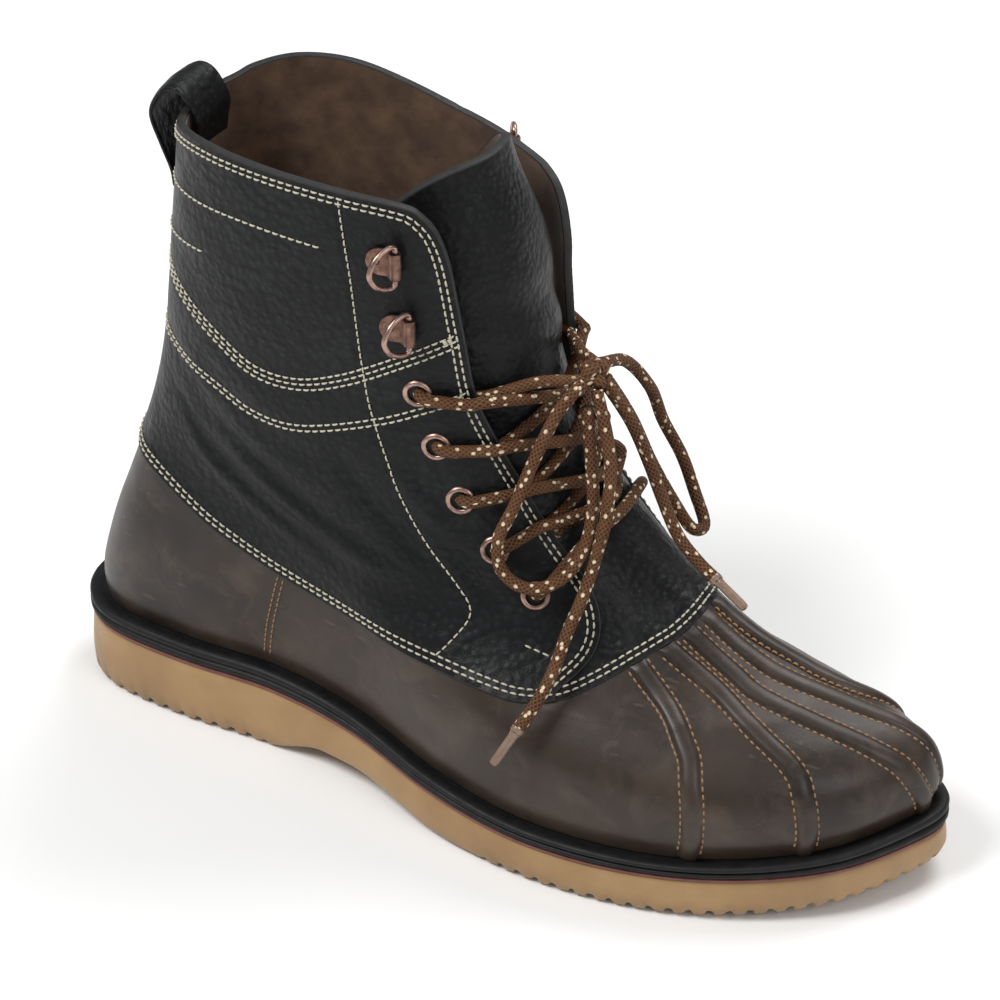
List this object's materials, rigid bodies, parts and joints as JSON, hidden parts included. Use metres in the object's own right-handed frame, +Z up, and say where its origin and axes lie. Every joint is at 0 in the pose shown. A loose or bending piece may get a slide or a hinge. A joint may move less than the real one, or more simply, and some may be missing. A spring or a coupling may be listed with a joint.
{
  "type": "duck boot",
  "caption": "Ankle-high lace-up duck boot for a right foot: brown ribbed lower, black shaft, gum sole, metal eyelets and hinged lace rings.",
  "frame": {"origin": "centre of the heel's flat tread, on the floor", "axes": "+X to the toe along the sole, +Y to the inner side of the foot, +Z up"},
  "size_m": [0.3012, 0.1197, 0.223],
  "materials": {
    "gum_rubber": "matt translucent gum rubber",
    "red_rubber": "matt dark red rubber",
    "welt_rubber": "satin black rubber with a groove",
    "sock_lining": "brushed brown lining",
    "upper_leather": "waxy dark brown lower leather and black pebbled shaft leather",
    "tongue_leather": "soft black leather, low sheen",
    "loop_leather": "black leather strap",
    "eyelet_metal": "antique copper, satin",
    "clip_metal": "antique copper, dull",
    "ring_metal": "antique copper, satin",
    "lace_cord": "braided brown cord with cream flecks",
    "aglet_tip": "smoky plastic tip"
  },
  "bodies": {
    "boot": {"outsole": "gum_rubber", "midsole": "red_rubber", "welt": "welt_rubber", "insole": "sock_lining", "upper": "upper_leather", "tongue": "tongue_leather", "pull_loop": "loop_leather", "eyelet_outer_1": "eyelet_metal", "eyelet_outer_2": "eyelet_metal", "eyelet_outer_3": "eyelet_metal", "eyelet_outer_4": "eyelet_metal", "eyelet_outer_5": "eyelet_metal", "eyelet_inner_1": "eyelet_metal", "eyelet_inner_2": "eyelet_metal", "eyelet_inner_3": "eyelet_metal", "eyelet_inner_4": "eyelet_metal", "eyelet_inner_5": "eyelet_metal", "ring_clip_outer_1": "clip_metal", "ring_clip_outer_2": "clip_metal", "ring_clip_inner_1": "clip_metal", "ring_clip_inner_2": "clip_metal", "lace_crossings": "lace_cord", "lace_knot": "lace_cord", "lace_loop_outer": "lace_cord", "lace_loop_inner": "lace_cord", "lace_end_outer": "lace_cord", "lace_end_inner": "lace_cord", "aglet_outer": "aglet_tip", "aglet_inner": "aglet_tip"},
    "ring_outer_1": {"lace_ring_outer_1": "ring_metal"},
    "ring_outer_2": {"lace_ring_outer_2": "ring_metal"},
    "ring_inner_1": {"lace_ring_inner_1": "ring_metal"},
    "ring_inner_2": {"lace_ring_inner_2": "ring_metal"}
  },
  "joints": [
    {"name": "ring_hinge_outer_1", "type": "hinge", "parent": "boot", "child": "ring_outer_1", "pos_m": [0.08869, -0.0387, 0.19865], "axis": [0.0033, -0.0155, 0.9999], "range_deg": [-42, 104]},
    {"name": "ring_hinge_outer_2", "type": "hinge", "parent": "boot", "child": "ring_outer_2", "pos_m": [0.09243, -0.03749, 0.17585], "axis": [0.0039, -0.0155, 0.9999], "range_deg": [-42, 104]},
    {"name": "ring_hinge_inner_1", "type": "hinge", "parent": "boot", "child": "ring_inner_1", "pos_m": [0.08869, 0.04068, 0.19863], "axis": [-0.0043, -0.0203, -0.9998], "range_deg": [-38, 108]},
    {"name": "ring_hinge_inner_2", "type": "hinge", "parent": "boot", "child": "ring_inner_2", "pos_m": [0.09243, 0.03947, 0.17589], "axis": [-0.0006, -0.0024, -1], "range_deg": [-38, 108]}
  ]
}
